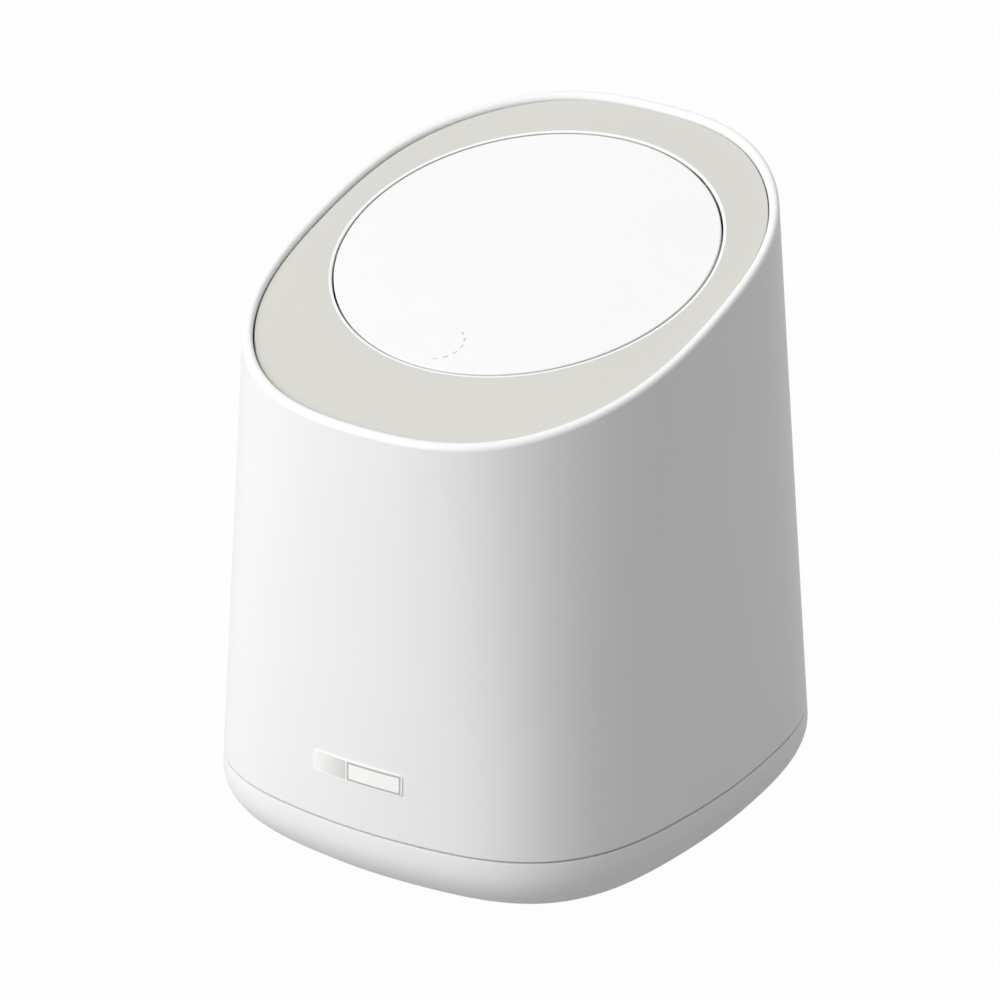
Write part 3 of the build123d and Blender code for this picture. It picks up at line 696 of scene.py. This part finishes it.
class BIN_OT_base(bpy.types.Operator):
    """Builds the base cup: its round underside, its band, its spigot in the shell and the ribs inside"""
    bl_idname = "bin.base"
    bl_label = "Base cup"

    def execute(self, context):
        size = context.scene.bin_body
        cup_wall, flat, floor_shares = 0.0026, 0.65, (0.05, 0.4, 0.8)
        spigot_gap, spigot_wall, spigot_rise, spigot_drop = 0.0003, 0.0018, 0.009, 0.0035
        rib_front, rib_back, rib_half_width, half_rib = -0.049, 0.035, 0.038, 0.0012
        rib_top, rib_lap, rib_bevel = 0.0065, 0.0004, 0.0003
        outer_steps, band_steps, inner_steps = 18, 2, 12
        top, edge = size.seam_height - size.seam_gap / 2, size.edge

        def bowl(inset, steps):
            rings = []
            for turn in quarter(steps):
                z = inset + (size.bottom_round - inset) * (1 - math.cos(turn))
                rings.append(level(size, z, inset, flat + (1 - flat) * math.sin(turn)))
            return rings

        def floor(inset):
            edge_ring = bowl(inset, outer_steps)[0]
            middle = sum(edge_ring, Vector()) / len(edge_ring)
            return [[middle.lerp(point, share) for point in edge_ring] for share in floor_shares]

        rings = floor(0) + bowl(0, outer_steps)
        rings += between(rings[-1], level(size, top - edge), band_steps)
        rings.append(level(size, top - edge * SOFT, edge * SOFT))
        rings.append(level(size, top, edge))
        spigot, inner = size.wall + spigot_gap, size.wall + spigot_gap + spigot_wall
        high, low = size.seam_height + spigot_rise, size.seam_height - spigot_drop
        rings += [level(size, top, spigot), level(size, high, spigot)]
        rings += [level(size, high, inner), level(size, low, inner), level(size, low, cup_wall)]
        rings += [*reversed(bowl(cup_wall, inner_steps)), *reversed(floor(cup_wall))]
        parts = [skin(rings, joined=False)]
        low, high = size.stand + cup_wall - rib_lap, size.stand + rib_top
        for y in (-0.032, 0.018):
            corners = (-rib_half_width, y - half_rib, low), (rib_half_width, y + half_rib, high)
            parts.append(box_piece(*corners, bevel=rib_bevel))
        for x in (-0.026, 0.026):
            corners = (x - half_rib, rib_front, low), (x + half_rib, rib_back, high)
            parts.append(box_piece(*corners, bevel=rib_bevel))
        piece = joined(parts)
        finished(piece, "base", finish_of("white_base"), "housing", ["base_cup"])
        return {"FINISHED"}


class BIN_OT_feet(bpy.types.Operator):
    """Builds the four round rubber feet"""
    bl_idname = "bin.feet"
    bl_label = "Feet"

    def execute(self, context):
        across, along, radius, thick, edge = 0.032, 0.038, 0.006, 0.0018, 0.0005
        middle, dish, dish_depth, dish_slope = 0.0003, 0.0044, 0.0001, 0.0004
        sides, round_steps = 48, 5
        profile = [(middle, dish_depth), (dish, dish_depth), (dish + dish_slope, 0.0)]
        for turn in quarter(round_steps):
            profile.append((radius - edge + edge * math.sin(turn), edge * (1 - math.cos(turn))))
        profile += [(radius, thick), (middle, thick)]
        ground = Matrix.Identity(4)
        parts = []
        for x in (-across, across):
            for y in (-along, along):
                rings = [circle(ground, reach, (x, y, z), count=sides) for reach, z in profile]
                parts.append(skin(rings, joined=False))
        finish = finish_of("foot_rubber")
        finished(joined(parts), "feet", finish, "housing", ["foot_pads"])
        return {"FINISHED"}


class BIN_OT_label(bpy.types.Operator):
    """Builds the bare foil label, bent to the front of the shell"""
    bl_idname = "bin.label"
    bl_label = "Label"

    def execute(self, context):
        size, body = context.scene.bin_label, context.scene.bin_body
        middle, strips = size.middle + body.stand, 20
        deselect()
        bpy.ops.mesh.primitive_plane_add(size=1, location=(0, 0, middle), rotation=(math.pi / 2, 0, 0))
        piece = context.object
        piece.scale = (size.width, size.height, 1)
        bpy.ops.object.transform_apply(location=True, rotation=True, scale=True)
        edit(piece)
        bpy.ops.mesh.select_all(action="SELECT")
        bpy.ops.mesh.bevel(offset=size.corner, segments=8, affect="VERTICES")
        for i in range(1 - strips // 2, strips // 2):
            bpy.ops.mesh.select_all(action="SELECT")
            bpy.ops.mesh.bisect(plane_co=(i * size.width / strips, 0, middle), plane_no=(1, 0, 0))
        leave()
        for vert in piece.data.vertices:
            vert.co.y = front_at(body, vert.co.x, vert.co.z - body.stand)
        thick = piece.modifiers.new("Foil", "SOLIDIFY")
        thick.thickness = size.thick
        thick.offset = 1
        bpy.ops.object.modifier_apply(modifier=thick.name)
        finished(piece, "label", finish_of("label_foil"), "housing", ["label_plate"])
        return {"FINISHED"}


def front_at(body, x, z):
    """Y of the body's front at this place across and this height."""
    low, high, halvings = -0.75 * math.pi, -0.25 * math.pi, 40
    for _ in range(halvings):
        a = (low + high) / 2
        if body_point(body, a, z)[0] < x:
            low = a
        else:
            high = a
    return body_point(body, a, z)[1]


class BIN_OT_ring(bpy.types.Operator):
    """Builds the flat ring round the lid with its collar, its notches and its screw bosses"""
    bl_idname = "bin.ring"
    bl_label = "Ring"

    def execute(self, context):
        body, size = context.scene.bin_body, context.scene.bin_top
        place = mouth(body)
        hole = size.lid_radius + size.lid_gap
        low = size.recess + size.ring_thick
        inset = body.wall + size.ring_gap
        edge, band, face_steps, round_steps = 0.0005, 0.0005, 3, 5
        aside = Vector((1, 0.6, 0)) * size.ring_aside
        notch_near, notch_far, notch_front, notch_back, notch_low = 0.023, 0.0326, 0.038, 0.0493, 0.012
        boss, bore, boss_depth, lap, sides = 0.0025, 0.00115, 0.009, 0.0001, 40

        def round_at(radius, depth):
            return circle(place, radius, (0, size.hole_centre, -depth))

        def outline(depth, inset):
            return [point + aside for point in plan(body, depth, inset)]

        rings = [round_at(hole, size.collar_depth), round_at(hole, size.recess + size.chamfer_fall)]
        rings.append(round_at(hole + size.chamfer, size.recess))
        rings.append(round_at(hole + size.chamfer + band, size.recess))
        rings += between(rings[-1], outline(size.recess, inset + edge), face_steps)
        for turn in quarter(round_steps)[1:]:
            down = edge * (1 - math.cos(turn))
            rings.append(outline(size.recess + down, inset + edge * (1 - math.sin(turn))))
        rings.append(outline(low, inset))
        rings.append(round_at(hole + size.collar_wall, low))
        rings.append(round_at(hole + size.collar_wall, size.collar_depth))
        piece = skin(rings)
        cutters = []
        for side in (-1, 1):
            left, right = sorted((side * notch_near, side * notch_far))
            corners = (left, notch_front, -notch_low), (right, notch_back, -size.notch_depth)
            cutters.append(box_piece(*corners, place))
        cut(piece, cutters)
        parts = [piece]
        profile = ((bore, boss_depth), (boss, boss_depth), (boss, low - lap), (bore, low - lap))
        for x, y in ((0.03318, -0.06246), (0.06003, -0.0094), (0.02094, 0.05683)):
            for side in (-1, 1):
                tube = [circle(place, r, (side * x, y, -depth), count=sides) for r, depth in profile]
                parts.append(skin(tube))
        finished(joined(parts), "ring", finish_of("grey_ring"), "top", ["top_ring"])
        return {"FINISHED"}


class BIN_OT_lid(bpy.types.Operator):
    """Builds the round lid with its rounded edge, its skirt and its hinge knuckles"""
    bl_idname = "bin.lid"
    bl_label = "Lid"

    def execute(self, context):
        body, size = context.scene.bin_body, context.scene.bin_top
        place = mouth(body)
        under = size.recess + size.lid_plate
        inner = size.lid_radius - size.lid_skirt

        def round_at(radius, depth):
            return circle(place, radius, (0, size.hole_centre, -depth))

        bevel, band, middle, round_steps, sides = 0.0003, 0.0006, 0.002, 7, 48
        near, far, bore, knuckle, web = 0.014, 0.0235, 0.00105, 0.0026, 0.0021
        flat, low = size.lid_radius - size.lid_edge, size.lid_depth
        rings = [round_at(reach, size.recess) for reach in (middle, 0.02, 0.04, flat - band)]
        for turn in quarter(round_steps):
            down = size.lid_edge * (1 - math.cos(turn))
            rings.append(round_at(flat + size.lid_edge * math.sin(turn), size.recess + down))
        rings += [round_at(size.lid_radius, low - bevel), round_at(size.lid_radius - bevel, low)]
        rings += [round_at(inner + bevel, low), round_at(inner, low - bevel)]
        rings += [round_at(reach, under) for reach in (inner, 0.03, middle)]
        parts = [skin(rings, joined=False)]
        half = [(bore, near), (knuckle - bevel, near), (knuckle, near + bevel)]
        profile = half + [(knuckle, far - bevel), (knuckle - bevel, far), (bore, far)]
        pin_y, pin_z = size.pin_y, -size.pin_depth
        for side in (-1, 1):
            tube = [circle(place, reach, (side * x, pin_y, pin_z), "X", sides) for reach, x in profile]
            parts.append(skin(tube))
            left, right = sorted((side * near, side * far))
            corners = (left, pin_y - web, pin_z), (right, pin_y + web, -under + bevel)
            parts.append(box_piece(*corners, place))
        finished(joined(parts), "lid", finish_of("white_lid"), "lid", ["lid_cover"])
        return {"FINISHED"}


class BIN_OT_bucket(bpy.types.Operator):
    """Builds the inner bucket with its drafted wall, round floor and lip"""
    bl_idname = "bin.bucket"
    bl_label = "Inner bucket"

    def execute(self, context):
        body, size = context.scene.bin_body, context.scene.bin_bucket
        tilt, slope = math.tan(body.mouth_tilt), math.cos(body.mouth_tilt)
        rim_height = body.height + body.stand - size.depth / slope
        edge, wall_steps, round_steps, floor_shares = body.edge, 10, 10, (0.05, 0.5)

        def point(a, z, inset, shrink=0.0):
            draft = size.draft * (1 - (z - size.low) / (body.height - size.low)) + shrink
            half_x, half_y = size.half_width - draft, size.half_depth - draft
            x, y = oval(a, half_x, half_y, BUCKET_SQUARE, BUCKET_CRISP, inset)
            return Vector((x, y + size.centre, z))

        def slanted(drop, inset):
            """Section along the plane of the bucket's rim, lowered by this much."""
            ring = []
            for a in angles():
                z = rim_height
                for _ in range(ROUNDS):
                    spot = point(a, z, inset)
                    z = rim_height - drop / slope + spot.y * tilt
                ring.append(Vector((spot.x, spot.y, z)))
            return ring

        def bowl(z_low, inset, radius):
            rings = []
            for turn in quarter(round_steps):
                z, shrink = z_low + radius * (1 - math.cos(turn)), radius * (1 - math.sin(turn))
                rings.append([point(a, z, inset, shrink) for a in angles()])
            middle = sum(rings[0], Vector()) / SPOKES
            floor = [[middle.lerp(spot, share) for spot in rings[0]] for share in floor_shares]
            return floor + rings

        rings = bowl(size.low, 0, size.rounding)
        rings += between(rings[-1], slanted(size.flange_thick, 0), wall_steps)
        rings.append(slanted(size.flange_thick, -size.flange + edge))
        rings.append(slanted(size.flange_thick - edge, -size.flange))
        rings.append(slanted(edge, -size.flange))
        rings.append(slanted(0, -size.flange + edge))
        rings.append(slanted(0, size.wall - edge))
        rings.append(slanted(edge, size.wall))
        inside = bowl(size.low + size.floor, size.wall, size.rounding - size.wall)
        rings += between(rings[-1], inside[-1], wall_steps) + list(reversed(inside[:-1]))
        piece = skin(rings, joined=False)
        finished(piece, "bucket", finish_of("grey_bucket"), "bucket", ["inner_bucket"])
        return {"FINISHED"}


class BIN_OT_springs(bpy.types.Operator):
    """Winds the two lid springs of round wire, each with a leg under the lid and a leg on the frame"""
    bl_idname = "bin.springs"
    bl_label = "Lid springs"

    def execute(self, context):
        top, size = context.scene.bin_top, context.scene.bin_spring
        place = mouth(context.scene.bin_body)
        thin, sides = size.wire / 2, 16
        end = size.start + size.pitch * size.turns
        back = top.pin_y + size.frame_leg
        along_pin = Matrix.Rotation(math.pi, 4, "X") @ Matrix.Rotation(math.pi / 2, 4, "Y")
        on_pin = place @ Matrix.Translation((size.start, top.pin_y, -top.pin_depth)) @ along_pin
        for side, name in ((1, "right"), (-1, "left")):
            parts = [self.coil(size, on_pin, sides)]
            high, low = size.mean - top.pin_depth, -size.mean - top.pin_depth
            legs = [((size.start, top.pin_y - size.lid_leg, high), (size.start, top.pin_y, high), "Y")]
            legs.append(((end, top.pin_y, low), (end, back, low), "Y"))
            legs.append(((end, back, -size.foot), (end, back, low + thin), "Z"))
            for first, last, axis in legs:
                ends = [circle(place, thin, end_point, axis, sides) for end_point in (first, last)]
                parts.append(skin(ends, joined=False))
            piece = joined(parts)
            piece.data.transform(Matrix.Diagonal((side, 1, 1, 1)))
            finish, node = finish_of("spring_steel"), "lid_spring_" + name
            finished(piece, name + "_lid_coil", finish, "top", [node])
        return {"FINISHED"}

    def coil(self, size, place, sides):
        """Ring of the wire's thickness, wound about Z by a Screw modifier and closed at both ends."""
        steps_per_turn = 24
        deselect()
        bpy.ops.mesh.primitive_circle_add(vertices=sides, radius=size.wire / 2, fill_type="NOTHING")
        piece = bpy.context.object
        upright = Matrix.Rotation(math.pi / 2, 4, "X")
        piece.data.transform(Matrix.Translation((size.mean, 0, 0)) @ upright)
        wind = piece.modifiers.new("Wind", "SCREW")
        wind.angle = 2 * math.pi * size.turns
        wind.screw_offset = size.pitch * size.turns
        wind.steps = wind.render_steps = round(steps_per_turn * size.turns)
        wind.use_merge_vertices = False
        bpy.ops.object.modifier_apply(modifier=wind.name)
        edit(piece)
        bpy.ops.mesh.select_all(action="DESELECT")
        bpy.ops.mesh.select_mode(type="EDGE")
        bpy.ops.mesh.select_non_manifold()
        bpy.ops.mesh.fill_holes(sides=0)
        bpy.ops.mesh.select_mode(type="VERT")
        leave()
        piece.data.transform(place)
        return piece


class BIN_OT_works(bpy.types.Operator):
    """Carries over the frame, the hinge, the catch and the fasteners with their own finishes"""
    bl_idname = "bin.works"
    bl_label = "Hinge and catch"

    works = {
        "ring_frame": ("under_frame", "top", "grey_frame"),
        "frame_screws": ("frame_fasteners", "top", "steel_screw"),
        "stop_pads": ("lid_stops", "top", "pad_rubber"),
        "hinge_pin": ("pin_rod", "pin", "steel_pin"),
        "lid_liner": ("liner", "lid", "grey_liner"),
        "lid_screws": ("lid_fasteners", "lid", "steel_screw"),
        "striker": ("striker_post", "lid", "white_acetal"),
        "latch_housing": ("catch_housing", "top", "dark_acetal"),
        "latch_cover": ("catch_cover", "top", "dark_acetal"),
        "latch_screws": ("catch_fasteners", "top", "steel_screw"),
        "latch_slider": ("catch_slider", "latch", "white_acetal"),
        "latch_jaws": ("catch_clip", "latch", "dark_acetal"),
        "latch_follower": ("catch_wire", "top", "spring_steel"),
        "latch_spring": ("catch_coil", "top", "spring_steel"),
    }

    def execute(self, context):
        for node, (name, body, slot) in self.works.items():
            carried(node, name, finish_of(slot), body)
        return {"FINISHED"}


class BIN_OT_stage(bpy.types.Operator):
    """Sets the floor, the surrounding light, the lamps and the camera"""
    bl_idname = "bin.stage"
    bl_label = "Stage"

    def execute(self, context):
        scene, stage = context.scene, context.scene.bin_stage
        scene.view_settings.view_transform = "Standard"
        deselect()
        bpy.ops.mesh.primitive_plane_add(size=stage.floor_size)
        floor = context.object
        floor.name = "studio_floor"
        floor.data.materials.append(self.floor_finish(stage))
        floor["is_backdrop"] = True
        self.surround(scene, stage)
        self.lamp("key_lamp", stage.key_place, stage.key_size, stage.key, stage.aim)
        self.lamp("top_lamp", stage.top_place, stage.top_size, stage.key * stage.top_share, stage.aim)
        self.camera(scene, stage)
        return {"FINISHED"}

    def seen(self, tree, stage):
        """How white the surroundings are to a ray: from the camera, through glass, less from a gloss."""
        path = tree.node("ShaderNodeLightPath")
        outputs = path.output.node.outputs
        seen = Socket(tree, outputs["Is Camera Ray"])
        for name, share in (("Is Glossy Ray", stage.gloss_white), ("Is Transmission Ray", 1.0)):
            other = Socket(tree, outputs[name]) * share
            seen = tree.node("ShaderNodeMath", {"operation": "MAXIMUM"}, {0: seen, 1: other})
        return seen

    def floor_finish(self, stage):
        finish = Finish("studio_floor")
        matt = finish.node("ShaderNodeBsdfDiffuse", values={"Color": (*[stage.floor_grey] * 3, 1)})
        white = finish.node("ShaderNodeEmission", values={"Color": (1, 1, 1, 1), "Strength": 1.0})
        share = self.seen(finish, stage) * stage.floor_white
        mixed = finish.node("ShaderNodeMixShader", values={0: share, 1: matt, 2: white})
        finish.node("ShaderNodeOutputMaterial", values={"Surface": mixed})
        return finish.owner

    def surround(self, scene, stage):
        sky = Finish("studio_light", "worlds")
        scene.world = sky.owner
        strength = self.seen(sky, stage) * (1.0 - stage.fill) + stage.fill
        light = sky.node("ShaderNodeBackground", values={"Color": (1, 1, 1, 1), "Strength": strength})
        sky.node("ShaderNodeOutputWorld", values={"Surface": light})

    def lamp(self, name, place, size, power, height):
        light = bpy.data.lights.new(name, "AREA")
        light.shape = "SQUARE"
        light.size = size
        light.energy = power
        lamp = bpy.data.objects.new(name, light)
        bpy.context.scene.collection.objects.link(lamp)
        lamp.location = place
        aim = Vector((0, 0, height)) - Vector(place)
        lamp.rotation_euler = aim.to_track_quat("-Z", "Y").to_euler()

    def camera(self, scene, stage):
        a, e, roll = stage.azimuth, stage.elevation, stage.roll
        back = Vector((math.sin(a) * math.cos(e), -math.cos(a) * math.cos(e), math.sin(e)))
        flat = Vector((math.cos(a), math.sin(a), 0))
        rise = back.cross(flat)
        right = flat * math.cos(roll) + rise * math.sin(roll)
        up = rise * math.cos(roll) - flat * math.sin(roll)
        lens = bpy.data.cameras.new("camera")
        lens.lens = stage.lens
        lens.sensor_width = 36
        lens.clip_start, lens.clip_end = 0.1, 50
        camera = bpy.data.objects.new("camera", lens)
        scene.collection.objects.link(camera)
        turn = Matrix((right, up, back)).transposed().to_4x4()
        place = right * stage.side + up * stage.rise + back * stage.distance
        place.z += scene.bin_body.stand
        camera.matrix_world = MOVED_BACK @ Matrix.Translation(place) @ turn
        scene.camera = camera


class BIN_PT_panel(bpy.types.Panel):
    """Lists the bin's builders"""
    bl_label = "Push top bin"
    bl_idname = "BIN_PT_panel"
    bl_space_type = "VIEW_3D"
    bl_region_type = "UI"
    bl_category = "Bin"

    def draw(self, context):
        column = self.layout.column(align=True)
        for builder in BUILDERS:
            column.operator(builder.bl_idname)


GROUPS = {
    "bin_body": BinBodySizes,
    "bin_top": BinTopSizes,
    "bin_spring": BinSpringSizes,
    "bin_bucket": BinBucketSizes,
    "bin_label": BinLabelSizes,
    "bin_colours": BinColours,
    "bin_stage": BinStage,
}
BUILDERS = [
    BIN_OT_shell,
    BIN_OT_base,
    BIN_OT_feet,
    BIN_OT_label,
    BIN_OT_ring,
    BIN_OT_lid,
    BIN_OT_bucket,
    BIN_OT_springs,
    BIN_OT_works,
    BIN_OT_stage,
]


def register():
    for group in [*GROUPS.values(), *BUILDERS, BIN_PT_panel]:
        bpy.utils.register_class(group)
    for name, group in GROUPS.items():
        setattr(bpy.types.Scene, name, bpy.props.PointerProperty(type=group))


def unregister():
    for name in GROUPS:
        delattr(bpy.types.Scene, name)
    for group in reversed([*GROUPS.values(), *BUILDERS, BIN_PT_panel]):
        bpy.utils.unregister_class(group)


def main():
    register()
    for builder in BUILDERS:
        group, name = builder.bl_idname.split(".")
        getattr(getattr(bpy.ops, group), name)()
    boxes = {"cad": CAD_BOX, "visual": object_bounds()}
    boxes = {name: [list(corner) for corner in box] for name, box in boxes.items()}


if __name__ == "__main__":
    main()
